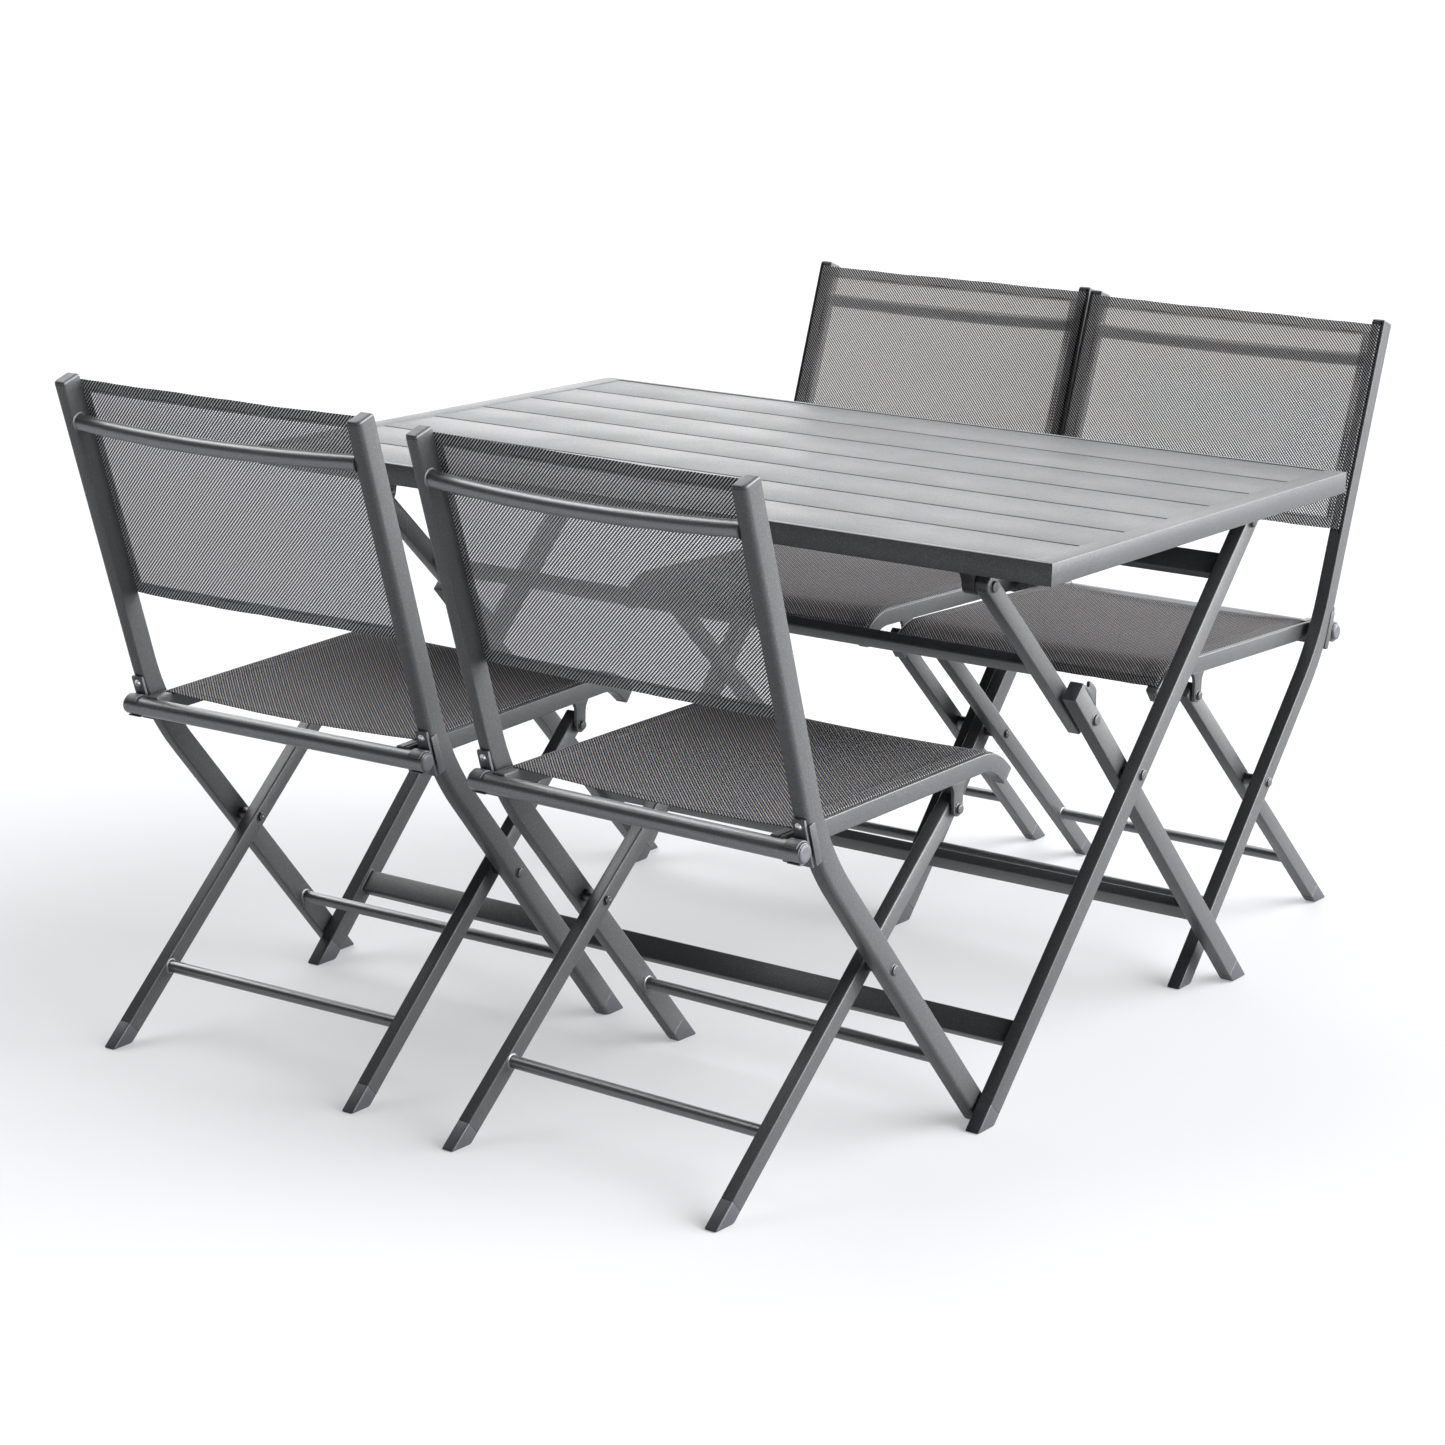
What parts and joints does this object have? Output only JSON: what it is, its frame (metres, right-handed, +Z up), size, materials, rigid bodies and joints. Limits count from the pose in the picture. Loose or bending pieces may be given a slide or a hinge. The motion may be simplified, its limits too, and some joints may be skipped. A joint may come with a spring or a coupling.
{
  "type": "patio dining set",
  "caption": "Folding rectangular patio table with a slatted top on crossed legs, set with folding sling chairs along both long sides.",
  "frame": {"origin": "on the floor, at the middle of the whole set seen from above", "axes": "+Z up, X along the table; chairs 1 and 2 stand on the -Y side, chairs 3 and 4 on the +Y side"},
  "size_m": [1.224, 1.7078, 0.871],
  "materials": {
    "frame_coat": "graphite metallic powder coat, fine sparkle, satin",
    "mesh": "open basket weave of light and dark grey coated yarn",
    "plastic": "moulded dark grey plastic, matte",
    "hardware": "dark coated steel bolts and washers"
  },
  "bodies": {
    "table_outer_legs": {"outer_legs": "frame_coat", "outer_rails": "frame_coat", "outer_leg_plugs": "plastic", "outer_top_bolts": "hardware", "cross_bolts": "hardware"},
    "table_top": {"table_rim": "frame_coat", "table_slats": "frame_coat", "table_battens": "frame_coat", "table_brackets": "plastic", "brace_top_bolts": "hardware"},
    "table_inner_legs": {"inner_legs": "frame_coat", "inner_rail": "frame_coat", "inner_leg_plugs": "plastic", "elbow_bolts": "hardware"},
    "table_brace": {"brace_arms": "frame_coat", "brace_rail": "frame_coat"},
    "chair1_frame": {"chair1_posts": "frame_coat", "chair1_cross_rails": "frame_coat", "chair1_back_sling": "mesh", "chair1_bar_clips": "plastic", "chair1_post_plugs": "plastic"},
    "chair1_rear_legs": {"chair1_rear_legs": "frame_coat", "chair1_rear_feet": "plastic", "chair1_pivot_bolts": "hardware"},
    "chair1_seat": {"chair1_seat_frame": "frame_coat", "chair1_seat_sling": "mesh", "chair1_seat_plugs": "plastic"},
    "chair2_frame": {"chair2_posts": "frame_coat", "chair2_cross_rails": "frame_coat", "chair2_back_sling": "mesh", "chair2_bar_clips": "plastic", "chair2_post_plugs": "plastic"},
    "chair2_rear_legs": {"chair2_rear_legs": "frame_coat", "chair2_rear_feet": "plastic", "chair2_pivot_bolts": "hardware"},
    "chair2_seat": {"chair2_seat_frame": "frame_coat", "chair2_seat_sling": "mesh", "chair2_seat_plugs": "plastic"},
    "chair3_frame": {"chair3_posts": "frame_coat", "chair3_cross_rails": "frame_coat", "chair3_back_sling": "mesh", "chair3_bar_clips": "plastic", "chair3_post_plugs": "plastic"},
    "chair3_rear_legs": {"chair3_rear_legs": "frame_coat", "chair3_rear_feet": "plastic", "chair3_pivot_bolts": "hardware"},
    "chair3_seat": {"chair3_seat_frame": "frame_coat", "chair3_seat_sling": "mesh", "chair3_seat_plugs": "plastic"},
    "chair4_frame": {"chair4_posts": "frame_coat", "chair4_cross_rails": "frame_coat", "chair4_back_sling": "mesh", "chair4_bar_clips": "plastic", "chair4_post_plugs": "plastic"},
    "chair4_rear_legs": {"chair4_rear_legs": "frame_coat", "chair4_rear_feet": "plastic", "chair4_pivot_bolts": "hardware"},
    "chair4_seat": {"chair4_seat_frame": "frame_coat", "chair4_seat_sling": "mesh", "chair4_seat_plugs": "plastic"}
  },
  "joints": [
    {"name": "table_fold", "type": "hinge", "parent": "table_outer_legs", "child": "table_inner_legs", "pos_m": [0, 0.00125, 0.3747], "axis": [-1, 0, 0], "range_deg": [0, 84]},
    {"name": "table_top_tilt", "type": "hinge", "parent": "table_outer_legs", "child": "table_top", "pos_m": [0, 0.27725, 0.662], "axis": [1, 0, 0], "range_deg": [0, 41.8]},
    {"name": "table_brace_swing", "type": "hinge", "parent": "table_top", "child": "table_brace", "pos_m": [0, -0.30275, 0.662], "axis": [1, 0, 0], "range_deg": [0, 40.3]},
    {"name": "chair1_pull_out", "type": "slide", "parent": "table_outer_legs", "child": "chair1_frame", "axis": [0, -0.9988, 0.0483], "range_m": [0, 0.621]},
    {"name": "chair1_fold", "type": "hinge", "parent": "chair1_frame", "child": "chair1_rear_legs", "pos_m": [-0.31585, -0.5036, 0.246], "axis": [0.9997, 0.0244, 0], "range_deg": [0, 70], "deforming": ["chair1_bar_clips"]},
    {"name": "chair1_seat_swing", "type": "hinge", "parent": "chair1_rear_legs", "child": "chair1_seat", "pos_m": [-0.32005, -0.33165, 0.4], "axis": [0.9997, 0.0244, 0], "range_deg": [0, 36.6]},
    {"name": "chair2_pull_out", "type": "slide", "parent": "table_outer_legs", "child": "chair2_frame", "axis": [0, -0.9988, 0.0483], "range_m": [0, 0.621]},
    {"name": "chair2_fold", "type": "hinge", "parent": "chair2_frame", "child": "chair2_rear_legs", "pos_m": [0.26959, -0.52954, 0.246], "axis": [0.9995, -0.0314, 0], "range_deg": [0, 81], "deforming": ["chair2_bar_clips"]},
    {"name": "chair2_seat_swing", "type": "hinge", "parent": "chair2_rear_legs", "child": "chair2_seat", "pos_m": [0.27499, -0.35762, 0.4], "axis": [0.9995, -0.0314, 0], "range_deg": [0, 42.3]},
    {"name": "chair3_pull_out", "type": "slide", "parent": "table_outer_legs", "child": "chair3_frame", "axis": [0, 0.9988, 0.0483], "range_m": [0, 0.621]},
    {"name": "chair3_fold", "type": "hinge", "parent": "chair3_frame", "child": "chair3_rear_legs", "pos_m": [-0.25589, 0.53278, 0.246], "axis": [-0.9998, -0.0175, 0], "range_deg": [0, 81], "deforming": ["chair3_bar_clips"]},
    {"name": "chair3_seat_swing", "type": "hinge", "parent": "chair3_rear_legs", "child": "chair3_seat", "pos_m": [-0.25289, 0.3608, 0.4], "axis": [-0.9998, -0.0175, 0], "range_deg": [0, 42.3]},
    {"name": "chair4_pull_out", "type": "slide", "parent": "table_outer_legs", "child": "chair4_frame", "axis": [0, 0.9988, 0.0483], "range_m": [0, 0.621]},
    {"name": "chair4_fold", "type": "hinge", "parent": "chair4_frame", "child": "chair4_rear_legs", "pos_m": [0.23226, 0.51135, 0.246], "axis": [-1, 0.007, 0], "range_deg": [0, 81], "deforming": ["chair4_bar_clips"]},
    {"name": "chair4_seat_swing", "type": "hinge", "parent": "chair4_rear_legs", "child": "chair4_seat", "pos_m": [0.23106, 0.33936, 0.4], "axis": [-1, 0.007, 0], "range_deg": [0, 42.3]}
  ],
  "couplings": [
    {"joint": "table_top_tilt", "follows": "table_fold", "ratio": 0.49711},
    {"joint": "table_brace_swing", "follows": "table_fold", "ratio": 0.47934},
    {"joint": "chair1_pull_out", "follows": "table_fold", "m_per_rad": 0.4234},
    {"joint": "chair1_seat_swing", "follows": "chair1_fold", "ratio": 0.5221},
    {"joint": "chair2_pull_out", "follows": "table_fold", "m_per_rad": 0.4234},
    {"joint": "chair2_seat_swing", "follows": "chair2_fold", "ratio": 0.5221},
    {"joint": "chair3_pull_out", "follows": "table_fold", "m_per_rad": 0.4234},
    {"joint": "chair3_seat_swing", "follows": "chair3_fold", "ratio": 0.5221},
    {"joint": "chair4_pull_out", "follows": "table_fold", "m_per_rad": 0.4234},
    {"joint": "chair4_seat_swing", "follows": "chair4_fold", "ratio": 0.5221}
  ]
}
